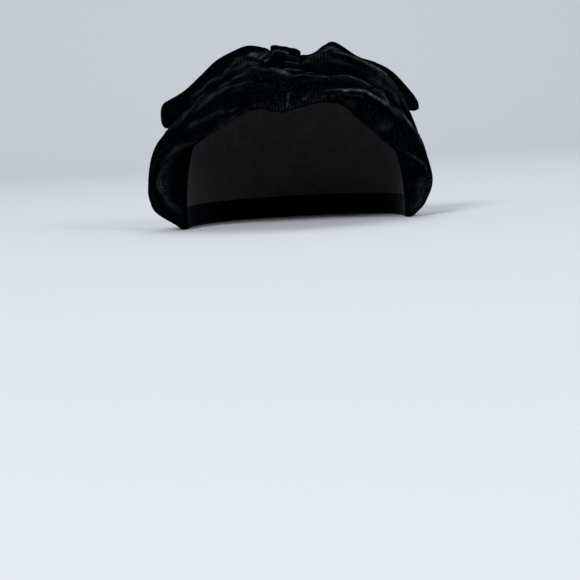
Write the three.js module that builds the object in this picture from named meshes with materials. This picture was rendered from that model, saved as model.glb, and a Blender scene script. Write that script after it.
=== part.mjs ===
// A black velvet cocktail hat: a stiffened cap, a rolled brim that sweeps from ear to ear across
// the hairline, a draped fold behind the brim, and a flat bow of two loops and a knot.
// Millimetres, +Z up, the wearer faces -Y. The hat stands on the rim of its cap, on the plane z = 0.
import * as THREE from "three";

// Driving dimensions
const CAP = { halfWidth: 78, front: 70, back: 94, height: 107, planPower: 2.2, domePower: 2.5, wall: 2.5 };
const VELVET = 2; // one folded layer of velvet with its interlining
const SEAM = 0.4; // what is left between two layers that are sewn together
const RIM_RISE = 1.065; // how much higher the cap's rim lies than the brim's edge in front of it

// The brim, one row for each section from the left ear over the brow to the right ear.
// edge: the folded edge in front, crest: the top of the roll, belly: how far the roll bulges forward,
// tuck: from the edge back to the cap's rim, heel: from the crest back to the cap.
const BRIM = rows("edgeX edgeY edgeZ crestX crestY crestZ belly tuck heel", [
  [-78.5, -12, 0, -81, -3, 3, 1, 7, 6], // left tip
  [-80, -14, 13, -98.2, 2, 14, 4, 8.5, 10], // below the left ear
  [-92, -16, 32, -99, 2, 30, 4, 10, 10], // left flare
  [-80.5, -18, 53, -94, 0, 55, 6, 10, 9], // above the left ear
  [-65, -26, 59.3, -79, -8, 76, 8, 8, 7], // left temple
  [-43, -44, 72.5, -59, -26, 92.5, 9, 8, 6], // left brow
  [-23, -58, 81.8, -31, -44, 103, 9, 8, 6], // left of the middle
  [-4, -62, 78.8, -7, -49, 105, 10, 8, 6], // middle
  [28.5, -57, 83.5, 25, -45, 103, 9, 8, 6], // right of the middle
  [44.5, -44, 71, 49, -30, 96, 9, 8, 6], // right brow
  [62.5, -27, 53.8, 68, -12, 79, 8, 8, 7], // right temple
  [71.5, -19, 44.5, 85, -2, 60, 6, 9, 9], // above the right ear
  [75.5, -16, 25, 95.5, 2, 28, 5, 10, 10], // right flare
  [76, -14, 10, 90.5, 2, 10, 3, 8.5, 9], // below the right ear
  [77, -12, 0, 83, -3, 2.5, 1, 7, 6], // right tip
]);
const BRIM_STEPS = { along: 70, across: 14 };

// Folds pressed into the brim, each a straight run between two places. row: the brim's row, across: 0 at the
// cap's rim, 0.25 at the edge, 0.75 at the crest and 1 at the heel. One with a negative height is a crease.
const BRIM_FOLDS = rows("fromRow fromAcross toRow toAcross height spread", [
  [1.7, 0.44, 3.3, 0.42, -1.6, 5], // behind the left flare
  [3.4, 0.5, 4.8, 0.5, -1.6, 5], // left temple
  [4, 0.42, 6.2, 0.38, 1.4, 4], // left brow
  [4.6, 0.54, 6.3, 0.68, 1.6, 4], // left brow, running into the crest
  [6.5, 0.7, 7.1, 0.66, 1.6, 4], // in front of the knot
  [6.2, 0.4, 7.7, 0.38, 1.6, 4], // over the sag in the middle
  [6.4, 0.58, 8.2, 0.6, -1.4, 5], // under the crest in the middle
  [7.9, 0.45, 9.3, 0.55, 2.4, 5], // right brow
  [9.3, 0.55, 10.4, 0.72, 2.4, 5], // right brow, running into the crest
  [9.2, 0.4, 10.6, 0.44, -1.8, 5], // right temple
  [11, 0.27, 11.8, 0.6, -2.6, 4], // over the right ear
]);
const BRIM_ROW = 23; // the distance between two rows of the brim, and the way across it, for the folds
const BRIM_GIRTH = 75;

// The drape, one row for each section from above the left ear to behind the right one, beside the same rows
// of the brim. stand: how far its foot is behind the brim's heel, crest, belly and heel: as on the brim.
const DRAPE = rows("stand crestX crestY crestZ belly heel", [
  [2.5, -77, 12, 60, 1, 5], // above the left ear
  [2.5, -73, 2, 83, 3, 6], // left temple
  [2.5, -56, -17, 101.5, 3, 6], // left brow
  [6, -31, -34, 116, 3, 6], // left of the knot
  [14, -1, -25, 107.5, 1.5, 5], // under the knot
  [8, 27, -32, 116, 3, 6], // right of the knot
  [2.5, 49, -21, 110, 4, 6], // right brow
  [2.5, 68.5, -3, 97.7, 4, 6], // right temple
  [2.5, 88, 8, 57, 2, 5], // above the right ear
  [2.5, 84, 15, 36, 1, 4], // behind the right ear
]);
const DRAPE_FIRST = 3; // the brim's row that the drape's first row stands behind
const DRAPE_STEPS = { along: 45, across: 8 };

// The bow's loops, one row for each station from the knot out to the fold at the end.
// out: from the hat's middle, top: the highest ridge, drop: how much lower the front edge is,
// front and back: the loop's edges, pleat: the depth of the gathers,
// clear: how far the turned-down front edge stops above the cap.
const LOOP_LEFT = rows("out top drop front back pleat clear", [
  [1, 113, 2, -16, 1, 1.5, 2], // in the knot
  [11.4, 118.5, 2, -16, -1.5, 1.5, 2], // leaving the knot
  [15, 121, 4, -18, 7, 3, 3],
  [27, 124, 10, -19, 14, 4, 5],
  [39, 120.5, 13, -16, 22, 4, 6],
  [51, 115, 12, -7, 33, 3, 6],
  [63, 105.5, 9, 6, 43, 2.5, 4],
  [76, 95.5, 6, 12, 51, 2, 1],
  [93.5, 87, 4, 15, 57, 1.5, 0], // end fold
]);
const LOOP_RIGHT = rows("out top drop front back pleat clear", [
  [1, 112, 2, -16, 1, 1.5, 2], // in the knot
  [9.5, 114.4, 2, -16, 1, 1.5, 2], // leaving the knot
  [15, 114.8, 2, -18, 7, 2, 3],
  [20, 117.2, 3, -18.5, 10, 3, 4],
  [26, 121.2, 4, -19, 14.5, 4, 5],
  [34, 123, 5, -16, 20, 4, 6],
  [50, 113.5, 4, -4, 33, 3, 6],
  [63, 108.5, 5, 11, 44, 2.5, 4],
  [76, 99.6, 6, 13, 51, 2, 1],
  [92.5, 79.6, 4, 15, 57, 1.5, 0], // end fold
]);
const LOOP = {
  lip: 5, // how far the front edge of the top layer reaches past the one below
  turn: 0.24, // the share of the top layer that is turned down in front
  slant: 3, // how much shorter the loop is in front, and at its rounded corner behind
  corner: 4,
  fold: 5, // the length of the rounded end above and below, and how square it is
  under: 10,
  blunt: 2.7,
  tip: 0.53, // how high the end's outermost line lies between its two layers
  end: 70.4, // the height of the lower layer at the end, and its rise towards the knot
  sag: 0.45,
  lean: 1.2, // how much higher the right end is, and how much lower the left one
  gathers: 3,
  backDrop: 5,
};
const LOOP_STEPS = { along: 28, across: 12 };

// tilt: how much lower the knot is to the right, curl: how far its two sides are drawn in.
const KNOT = { x: -1, width: 20.5, middle: -16, depth: 43, rise: 14.8, tilt: 0.24, curl: 1.2 };
const KNOT_RIDGES = { count: 3, height: 0.15 };
// The hollow under the front of the knot: its place from left to right and from front to back, and its sizes.
const KNOT_HOLLOW = { left: 0.28, front: 0.15, width: 0.32, height: 0.08, depth: 5 };
const KNOT_STEPS = { along: 12, across: 14 };

function rows(names, values) {
  const columns = names.split(" ");
  return values.map((row) => Object.fromEntries(columns.map((name, i) => [name, row[i]])));
}

// A smooth line through one column of a table: 0 gives its first row and 1 its last.
function column(table, name) {
  const line = new THREE.SplineCurve(table.map((row, i) => new THREE.Vector2(i, row[name])));
  return (t) => line.getPoint(t).y;
}

// Three columns of a table as a line in space.
function track(table, name) {
  const [x, y, z] = ["X", "Y", "Z"].map((axis) => column(table, name + axis));
  return (t) => new THREE.Vector3(x(t), y(t), z(t));
}

// How far out a point lies from the cap's middle: 1 on the cap's outer face, grown by offset.
function capShare(p, offset) {
  const across = Math.abs(p.x) / (CAP.halfWidth + offset);
  const along = Math.abs(p.y) / ((p.y < 0 ? CAP.front : CAP.back) + offset);
  const plan = (across ** CAP.planPower + along ** CAP.planPower) ** (1 / CAP.planPower);
  const level = p.z / (CAP.height + offset);
  return (plan ** CAP.domePower + level ** CAP.domePower) ** (1 / CAP.domePower);
}

// The point of the cap's outer face, grown by offset, in the direction of p.
function ontoCap(p, offset) {
  return p.clone().divideScalar(capShare(p, offset));
}

// The height of the cap's outer face, grown by offset, over a point of its plan.
function capTop(x, y, offset) {
  const plan = capShare(new THREE.Vector3(x, y, 0), offset);
  return (CAP.height + offset) * Math.max(0, 1 - plan ** CAP.domePower) ** (1 / CAP.domePower);
}

// The inner face of a soft layer: each point of its outer face moved towards the hollow by its thickness.
function lined(outer, hollow) {
  return (u, v) => {
    const p = outer(u, v);
    const inwards = hollow(u, v).sub(p);
    return p.addScaledVector(inwards, Math.min(VELVET / inwards.length(), 0.45));
  };
}

// A closed wall between two grids of points, outer(u, v) and inner(u, v), with u from left to right and
// v from front to back. A ring closes on itself along u, and a dome's last row is one point.
function wall(outer, inner, { along, across }, { ring = false, dome = false } = {}) {
  const positions = [];
  const triangles = [];
  const columns = ring ? along : along + 1;
  const grid = (surface) => {
    const start = positions.length / 3;
    for (let i = 0; i < columns; i++)
      for (let j = 0; j <= across; j++) positions.push(...surface(i / along, j / across).toArray());
    return (i, j) => start + (dome && j === across ? 0 : i % columns) * (across + 1) + j;
  };
  const triangle = (a, b, c) => a !== b && b !== c && c !== a && triangles.push(a, b, c);
  const face = (a, b, c, d) => [triangle(a, b, c), triangle(a, c, d)];
  const out = grid(outer);
  const hidden = grid(inner);
  for (let i = 0; i < along; i++)
    for (let j = 0; j < across; j++) {
      face(out(i, j), out(i + 1, j), out(i + 1, j + 1), out(i, j + 1));
      face(hidden(i, j), hidden(i, j + 1), hidden(i + 1, j + 1), hidden(i + 1, j));
    }
  for (let i = 0; i < along; i++) {
    face(out(i, 0), hidden(i, 0), hidden(i + 1, 0), out(i + 1, 0));
    if (!dome) face(out(i, across), out(i + 1, across), hidden(i + 1, across), hidden(i, across));
  }
  for (let j = 0; j < across && !ring; j++) {
    face(out(0, j), out(0, j + 1), hidden(0, j + 1), hidden(0, j));
    face(out(along, j), hidden(along, j), hidden(along, j + 1), out(along, j + 1));
  }
  const geometry = new THREE.BufferGeometry();
  geometry.setAttribute("position", new THREE.Float32BufferAttribute(positions, 3));
  geometry.setIndex(triangles);
  geometry.computeVertexNormals();
  return geometry;
}

// The point of a smooth curve through the given points.
function through(points, v) {
  return new THREE.CatmullRomCurve3(points, false, "catmullrom", 0.5).getPoint(v);
}

// The point midway between two, pushed out by bulge, square to their chord and away from the cap's middle.
function bellied(from, to, bulge) {
  const chord = to.clone().sub(from).normalize();
  const middle = from.clone().lerp(to, 0.45);
  const out = middle.clone().sub(new THREE.Vector3(0, 10, 40));
  out.addScaledVector(chord, -out.dot(chord)).normalize();
  return middle.addScaledVector(out, bulge);
}

const backward = (p, distance) => p.clone().add(new THREE.Vector3(0, distance, 0));
const total = (points) => points.reduce((sum, p) => sum.add(p), new THREE.Vector3());
const average = (points) => total(points).divideScalar(points.length);

const edge = track(BRIM, "edge");
const crest = track(BRIM, "crest");
const tuck = column(BRIM, "tuck");
const heel = column(BRIM, "heel");
// A point behind the brim's edge and a little higher.
function behindEdge(t, distance) {
  const p = backward(edge(t), distance);
  return p.setZ(p.z * RIM_RISE);
}

// The brim's section: from the cap's rim forward to the folded edge, up over the belly to the crest,
// and back to the cap.
const brimBelly = column(BRIM, "belly");
function brimSection(t) {
  const low = edge(t);
  const high = crest(t);
  return [
    ontoCap(behindEdge(t, tuck(t)), -CAP.wall),
    low,
    bellied(low, high, brimBelly(t)),
    high,
    ontoCap(backward(high, heel(t)), 2 * SEAM),
  ];
}
// How far the folds lift or sink the brim at a place: each is highest on its line and fades out beside it.
function brimFold(row, across) {
  const place = new THREE.Vector3(row * BRIM_ROW, across * BRIM_GIRTH, 0);
  const depths = BRIM_FOLDS.map((fold) => {
    const from = new THREE.Vector3(fold.fromRow * BRIM_ROW, fold.fromAcross * BRIM_GIRTH, 0);
    const to = new THREE.Vector3(fold.toRow * BRIM_ROW, fold.toAcross * BRIM_GIRTH, 0);
    const nearest = new THREE.Line3(from, to).closestPointToPoint(place, true, new THREE.Vector3());
    return fold.height * Math.exp(-((nearest.distanceTo(place) / fold.spread) ** 2));
  });
  return depths.reduce((sum, depth) => sum + depth, 0);
}
const brimFace = (u, v) => {
  const p = through(brimSection(u), v);
  const out = p.clone().sub(brimHollow(u)).normalize();
  p.addScaledVector(out, brimFold(u * (BRIM.length - 1), v));
  return p.setZ(Math.max(p.z, SEAM));
};
const brimHollow = (u) => average(brimSection(u));

// The cap: its rim follows the brim in front and lies flat on the table behind.
const CAP_STEPS = { along: 68, across: 8 };
const FRONT_SHARE = 42 / CAP_STEPS.along;
function capRim(u) {
  const t = u / FRONT_SHARE;
  if (t <= 1) return ontoCap(behindEdge(t, tuck(t) + 3 * SEAM), 0);
  const from = capRim(FRONT_SHARE);
  const to = capRim(0);
  const start = Math.atan2(from.y / CAP.back, from.x / CAP.halfWidth);
  const end = Math.atan2(to.y / CAP.back, to.x / CAP.halfWidth) + 2 * Math.PI;
  const turn = THREE.MathUtils.lerp(start, end, (u - FRONT_SHARE) / (1 - FRONT_SHARE));
  return ontoCap(new THREE.Vector3(CAP.halfWidth * Math.cos(turn), CAP.back * Math.sin(turn), 0), 0);
}
const APEX = new THREE.Vector3(0, 0, CAP.height);
const capFace = (offset) => (u, v) => {
  const rim = capRim(u);
  const p = rim.clone().lerp(APEX, v);
  const up = ontoCap(p, offset);
  if (v === 0) up.z = rim.z;
  return up;
};

// The drape's section: from its foot behind the brim up to its crest and back down to the cap.
const drapeCrest = track(DRAPE, "crest");
const drapeStand = column(DRAPE, "stand");
const drapeBelly = column(DRAPE, "belly");
const drapeHeel = column(DRAPE, "heel");
function drapeSection(u) {
  const t = (DRAPE_FIRST + u * (DRAPE.length - 1)) / (BRIM.length - 1);
  const foot = ontoCap(backward(crest(t), heel(t) + drapeStand(u)), SEAM);
  const high = drapeCrest(u);
  return [foot, bellied(foot, high, drapeBelly(u)), high, ontoCap(backward(high, drapeHeel(u)), SEAM)];
}
const drapeFace = (u, v) => through(drapeSection(u), v);
const drapeHollow = (u) => average(drapeSection(u));

// A loop of the bow: q runs from the knot, under the loop, to the fold at its end and back over the top.
function loop(table, side) {
  const names = Object.keys(table[0]);
  const [out, top, drop, front, back, pleat, clear] = names.map((name) => column(table, name));
  const length = table.at(-1).out;
  const lowest = LOOP.end + side * LOOP.lean;
  const round = (share, power) => Math.max(0, 1 - Math.max(0, share) ** power) ** (1 / power);
  const station = (q, w) => {
    const e = 1 - Math.abs(1 - 2 * q) ** 1.7;
    const reach = length - LOOP.slant * (1 - w) - LOOP.corner * Math.max(0, 2 * w - 1) ** 4;
    const x = (out(e) / length) * reach;
    const rounding = q > 0.5 ? LOOP.fold : LOOP.under;
    const open = round((x - reach + rounding) / rounding, LOOP.blunt);
    const upper = q > 0.5 ? open : 0;
    const y = THREE.MathUtils.lerp(front(e) - LOOP.lip * upper, back(e), w);
    const sides = (2 * w - 1) ** 2 * (w < 0.5 ? drop(e) : Math.min(drop(e), LOOP.backDrop));
    const gathers = (pleat(e) * (1 - Math.cos(2 * Math.PI * LOOP.gathers * (w - 0.5)))) / 2;
    const ceiling = top(e) - sides - gathers;
    const under = lowest + Math.max(0, length - x - LOOP.fold) * LOOP.sag;
    const floor = Math.max(capTop(side * x, y, 2 * SEAM), under);
    const middle = THREE.MathUtils.lerp(floor, ceiling, LOOP.tip);
    const layer = THREE.MathUtils.lerp(middle, q > 0.5 ? ceiling : floor, open);
    const height = (ceiling - floor) * open;
    const fall = (1 - round(1 - w / LOOP.turn, 2.4)) * upper * Math.max(0, height - clear(e));
    return { x, y, z: layer - fall, middle, reach };
  };
  const turned = (u) => (side < 0 ? u : 1 - u);
  const face = (u, v) => {
    const { x, y, z } = station(turned(u), v);
    return new THREE.Vector3(side * x, y, z);
  };
  const hollow = (u, v) => {
    const { x, y, middle, reach } = station(turned(u), Math.max(v, LOOP.turn));
    return new THREE.Vector3(side * Math.min(x, reach - LOOP.fold), y, middle);
  };
  return wall(face, lined(face, hollow), LOOP_STEPS);
}

// The knot: a band that arches from the cap in front over the gathered middle of the bow to the cap behind.
const knotFace = (u, v) => {
  const across = u - 0.5;
  const x = KNOT.x + KNOT.width * across;
  const level = KNOT.middle - (KNOT.depth / 2) * Math.cos(Math.PI * v);
  const aside = ((u - KNOT_HOLLOW.left) / KNOT_HOLLOW.width) ** 2;
  const above = ((v - KNOT_HOLLOW.front) / KNOT_HOLLOW.height) ** 2;
  const y = level + KNOT_HOLLOW.depth * Math.exp(-aside - above);
  const ridges = KNOT_RIDGES.height * Math.cos(2 * Math.PI * KNOT_RIDGES.count * across);
  const rise = KNOT.rise - KNOT.tilt * KNOT.width * across - KNOT.curl * (2 * across) ** 6 + ridges;
  return new THREE.Vector3(x, y, capTop(x, level, 1.25 * SEAM) + rise * Math.sin(Math.PI * v) ** 0.6);
};
const knotHollow = (u) => {
  const x = KNOT.x + KNOT.width * (u - 0.5);
  return new THREE.Vector3(x, KNOT.middle, capTop(x, KNOT.middle, 0) + 4);
};

const velvet = () => new THREE.MeshStandardMaterial({ color: 0x0b0c10, roughness: 0.95, metalness: 0 });
const hat = new THREE.Group();
const worn = new THREE.Group();
hat.add(worn);
function piece(name, geometry) {
  const mesh = new THREE.Mesh(geometry, velvet());
  mesh.name = name;
  worn.add(mesh);
}
piece("cap", wall(capFace(0), capFace(-CAP.wall), CAP_STEPS, { ring: true, dome: true }));
piece("brim", wall(brimFace, lined(brimFace, brimHollow), BRIM_STEPS));
piece("drape", wall(drapeFace, lined(drapeFace, drapeHollow), DRAPE_STEPS));
piece("bow_loop_left", loop(LOOP_LEFT, -1));
piece("bow_loop_right", loop(LOOP_RIGHT, 1));
piece("bow_knot", wall(knotFace, lined(knotFace, knotHollow), KNOT_STEPS));

// The origin is under the middle of the whole hat.
const middle = new THREE.Box3().setFromObject(worn).getCenter(new THREE.Vector3());
worn.position.set(-middle.x, -middle.y, 0);

export default hat;
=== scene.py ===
"""A black velvet cocktail hat: a stiffened cap, a rolled brim, a draped fold and a flat bow on top."""

import math

import bpy
import numpy as np
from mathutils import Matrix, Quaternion, Vector


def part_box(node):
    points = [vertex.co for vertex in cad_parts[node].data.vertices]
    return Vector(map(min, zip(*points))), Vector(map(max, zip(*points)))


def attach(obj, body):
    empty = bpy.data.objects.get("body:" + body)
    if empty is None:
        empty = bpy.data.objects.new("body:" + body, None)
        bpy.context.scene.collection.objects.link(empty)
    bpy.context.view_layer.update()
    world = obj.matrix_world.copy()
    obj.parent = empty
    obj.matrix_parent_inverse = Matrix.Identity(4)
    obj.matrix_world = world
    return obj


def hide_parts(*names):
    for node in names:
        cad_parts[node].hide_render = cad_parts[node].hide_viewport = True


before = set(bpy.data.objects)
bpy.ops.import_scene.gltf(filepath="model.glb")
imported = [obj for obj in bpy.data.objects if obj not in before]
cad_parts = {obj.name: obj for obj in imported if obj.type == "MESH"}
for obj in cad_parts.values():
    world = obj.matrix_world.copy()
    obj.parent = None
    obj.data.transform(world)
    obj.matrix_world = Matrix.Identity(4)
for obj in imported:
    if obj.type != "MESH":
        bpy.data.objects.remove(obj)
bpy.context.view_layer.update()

# The cap: a dome of stiffened cotton under black velvet, which carries everything else. Its front is cut
# away along the brow, and behind it stands on its rim. The velvet is turned in over the rim, and the bare
# charcoal cotton shows inside.
MM = 0.001
CAP_HALF_WIDTH = 78 * MM
CAP_FRONT = 70 * MM
CAP_BACK = 94 * MM
CAP_HEIGHT = 107 * MM
CAP_WALL = 2.5 * MM
PLAN_POWER = 2.2
DOME_POWER = 2.5
SEAM = 0.4 * MM
RIM_RISE = np.array([1, 1, 1.065])  # how much higher the rim lies than the brim's edge in front of it
TURNED_IN = 0.12  # how far up the inside the velvet is turned, as a share of the way to the top
CAP_CRUSH = 1.0
CAP_SHEEN = 0.06
# The brim's folded edge from the left ear over the brow to the right ear, and how far behind it the cap's
# rim lies.
BROW_LINE = MM * np.array([
    # x, y, z, tuck
    (-78.5, -12, 0, 7),  # left tip
    (-80, -14, 13, 8.5),  # below the left ear
    (-92, -16, 32, 10),  # left flare
    (-80.5, -18, 53, 10),  # above the left ear
    (-65, -26, 59.3, 8),  # left temple
    (-43, -44, 72.5, 8),  # left brow
    (-23, -58, 81.8, 8),  # left of the middle
    (-4, -62, 78.8, 8),  # middle
    (28.5, -57, 83.5, 8),  # right of the middle
    (44.5, -44, 71, 8),  # right brow
    (62.5, -27, 53.8, 8),  # right temple
    (71.5, -19, 44.5, 9),  # above the right ear
    (75.5, -16, 25, 10),  # right flare
    (76, -14, 10, 8.5),  # below the right ear
    (77, -12, 0, 7),  # right tip
])
CAP_COLUMNS_FRONT = 181
CAP_COLUMNS_BACK = 120
CAP_ROWS = 44

cap_low, cap_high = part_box("cap")
CAP_AXIS = np.array([(cap_low.x + cap_high.x) / 2, cap_high.y - CAP_BACK, 0])


def held(rows):
    """Rows with the first and the last repeated, for a smooth line that ends at rest."""
    return np.concatenate([rows[:1], rows, rows[-1:]])


def led_on(rows):
    """Rows with one more at each end, straight on, for a smooth line that ends at its slope."""
    return np.concatenate([2 * rows[:1] - rows[1:2], rows, 2 * rows[-1:] - rows[-2:-1]])


def smooth(rows, share):
    """A cubic line through all rows but the outer two. Its slope at a row is half its neighbours' step."""
    spans = len(rows) - 3
    place = np.clip(share, 0, 1) * spans
    first = np.minimum(place.astype(int), spans - 1)
    s = (place - first).reshape(place.shape + (1,) * (rows.ndim - 1))
    before, start, end, after = (rows[first + k] for k in range(4))
    lead = (end - before) / 2
    follow = (after - start) / 2
    bend = 3 * (end - start) - 2 * lead - follow
    return start + s * (lead + s * (bend + s * (2 * (start - end) + lead + follow)))


def cap_share(p, grown):
    """How far out points lie, 1 on the cap's outer face: a rounded plan under a squarer dome."""
    reach = np.where(p[..., 1] < 0, CAP_FRONT, CAP_BACK) + grown
    across = np.abs(p[..., 0]) / (CAP_HALF_WIDTH + grown)
    plan = (across**PLAN_POWER + np.abs(p[..., 1] / reach) ** PLAN_POWER) ** (1 / PLAN_POWER)
    return (plan**DOME_POWER + np.abs(p[..., 2] / (CAP_HEIGHT + grown)) ** DOME_POWER) ** (1 / DOME_POWER)


def onto_cap(p, grown):
    """Points moved straight towards or away from the cap's middle until they lie on its outer face."""
    return p / cap_share(p, grown)[..., None]


def cap_top(x, y, grown):
    """The height of the cap's outer face over places of its plan."""
    plan = cap_share(np.stack([x, y, 0 * x], axis=-1), grown)
    return (CAP_HEIGHT + grown) * np.maximum(0, 1 - plan**DOME_POWER) ** (1 / DOME_POWER)


def behind(p, distance):
    """Points moved straight back."""
    return p + np.stack([0 * distance, distance, 0 * distance], axis=-1)


def pushed(p, centre, distance):
    """Points moved straight away from a centre."""
    away = p - centre
    return p + away / np.linalg.norm(away, axis=-1, keepdims=True) * distance[..., None]


def cap_rim():
    """The rim: behind the brim's edge in front, then round the back of the plan on the table."""
    line = smooth(held(BROW_LINE), np.linspace(0, 1, CAP_COLUMNS_FRONT))
    front = onto_cap(behind(line[:, :3], line[:, 3] + 3 * SEAM) * RIM_RISE, 0)
    half = np.array([CAP_HALF_WIDTH, CAP_BACK])
    ends = front[[-1, 0], :2] / half
    turn = np.arctan2(ends[:, 1], ends[:, 0]) + (0, 2 * math.pi)
    turns = np.linspace(*turn, CAP_COLUMNS_BACK + 2)[1:-1, None]
    flat = np.hstack([half[0] * np.cos(turns), half[1] * np.sin(turns), 0 * turns])
    return np.concatenate([front, onto_cap(flat, 0)])


def cap_face(rim, up, grown):
    """Lines from the rim straight to the top, blown out onto the dome."""
    top = np.array([0, 0, CAP_HEIGHT])
    p = onto_cap(rim[:, None] + (top - rim[:, None]) * up[None, :, None], grown)
    p[:, up == 0, 2] = rim[:, None, 2]
    return p


def cloth_mesh(name, grid, around, **values):
    """A closed mesh from a grid of sections [section, place]. The places close on themselves, with a face on
    each end section, or with around the sections close on themselves and the end places are poles."""
    index = np.arange(grid.shape[0] * grid.shape[1]).reshape(grid.shape[:2])
    ends = [] if around else [index[0], index[-1][::-1]]
    looped = np.vstack([index, index[:1]]) if around else np.hstack([index, index[:, :1]])
    corners = [looped[:-1, :-1], looped[1:, :-1], looped[1:, 1:], looped[:-1, 1:]]
    quads = np.stack(corners, axis=-1).reshape(-1, 4)
    sizes = np.array([4] * len(quads) + [len(end) for end in ends])
    mesh = bpy.data.meshes.new(name)
    mesh.vertices.add(index.size)
    mesh.vertices.foreach_set("co", (grid + CAP_AXIS).ravel())
    mesh.loops.add(int(sizes.sum()))
    mesh.loops.foreach_set("vertex_index", np.concatenate([quads.ravel(), *ends]))
    mesh.polygons.add(len(sizes))
    mesh.polygons.foreach_set("loop_start", np.cumsum(sizes) - sizes)
    mesh.polygons.foreach_set("use_smooth", np.ones(len(sizes), bool))
    mesh.update(calc_edges=True)
    for label, value in values.items():
        mesh.attributes.new(label, "FLOAT", "POINT").data.foreach_set("value", value.ravel())
    mesh.validate()
    piece = bpy.data.objects.new(name, mesh)
    bpy.context.scene.collection.objects.link(piece)
    return piece


class Signal:
    """A shader socket. Arithmetic on it adds Math nodes, and node adds any other one."""

    def __init__(self, tree, socket=None):
        self.tree = tree
        self.socket = socket

    def node(self, kind, settings=(), sockets=(), output=0):
        made = self.tree.nodes.new(kind)
        for name, value in dict(settings).items():
            setattr(made, name, value)
        for name, value in dict(sockets).items():
            if isinstance(value, Signal):
                self.tree.links.new(value.socket, made.inputs[name])
            else:
                made.inputs[name].default_value = value
        return Signal(self.tree, made.outputs[output] if made.outputs else None)

    def math(self, operation, *values, clamp=False):
        return self.node("ShaderNodeMath", {"operation": operation, "use_clamp": clamp}, enumerate(values))

    def __add__(self, other):
        return self.math("ADD", self, other)

    def __sub__(self, other):
        return self.math("SUBTRACT", self, other)

    def __rsub__(self, other):
        return self.math("SUBTRACT", other, self)

    def __mul__(self, other):
        return self.math("MULTIPLY", self, other)

    __rmul__ = __mul__

    def at_least(self, least):
        """From least to 1 where this signal runs from 0 to 1."""
        return self * (1 - least) + least

    def clear(self, low, high):
        """0 up to low, 1 from high on, and a smooth rise between."""
        return self.node(
            "ShaderNodeMapRange",
            {"interpolation_type": "SMOOTHSTEP"},
            {"Value": self, "From Min": low, "From Max": high},
        )

    def blend(self, first, second):
        """A colour from first to second by this signal. A Mix node takes its colours in sockets 6 and 7 and
        gives one out of output 2."""
        sockets = {"Factor": self, 6: first, 7: second}
        return self.node("ShaderNodeMix", {"data_type": "RGBA"}, sockets, output=2)


PILE = (0.0002, 0.0003, 0.0005, 1)
PILE_BRUISED = (0.0044, 0.0073, 0.01, 1)
# the colour of the highlight painted along the folds' crests; the parted rows are tinted a little towards it
PILE_HIGHLIGHT = (0.17, 0.183, 0.205, 1)
PILE_ROW = 2.1 * MM
PILE_STREAK = 0.1  # how much narrower than long the streaks of the painted highlight are
PILE_NOISE = {
    # size, detail, and which values of the noise count as 0 and as 1
    "bruise": (24 * MM, 2, 0.4, 0.65),
    "crush": (1.8 * MM, 4, 0.4, 0.74),
    "patch": (6 * MM, 3, 0.35, 0.65),
    "nap": (0.5 * MM, 2, 0.3, 0.7),
    "streak": (1.5 * MM, 2, 0.42, 0.6),
}
NOISE_WARP = 0.6
STREAK_LEAST = 0.18  # what is left of the light where a noise is 0: between the streaks
HIGHLIGHT_LEAST_PATCH = 0.35  # of the painted highlight
HIGHLIGHT_LEAST_NAP = 0.6
PARTED_LEAST_PATCH = 0.1  # of parted rows
PARTED_LEAST_NAP = 0.5
CRUSHED_LEAST = 0.4  # of crushed pile
PARTED_LIGHT = 0.13  # how light a parted row is beside the painted highlight
PILE_ROUGHNESS = 0.92
ROW_HEIGHT = 0.8  # heights of the rows and the nap, as shares of the bump's distance
NAP_HEIGHT = 0.3
BUMP_DISTANCE = 0.45 * MM
BUMP_STRENGTH = 0.7
SHEEN_ROUGHNESS = 0.4
SHEEN_TINT = (0.55, 0.6, 0.75, 1)
COTTON = (0.036, 0.035, 0.035, 1)
COTTON_WORN = (0.052, 0.05, 0.049, 1)
COTTON_THREAD = 0.7 * MM
COTTON_SMOOTHER = 0.1  # how much less rough it is than the pile
COTTON_FROM = 0.45  # between which values of the attribute inside the velvet gives way to cotton
COTTON_TO = 0.55


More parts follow.
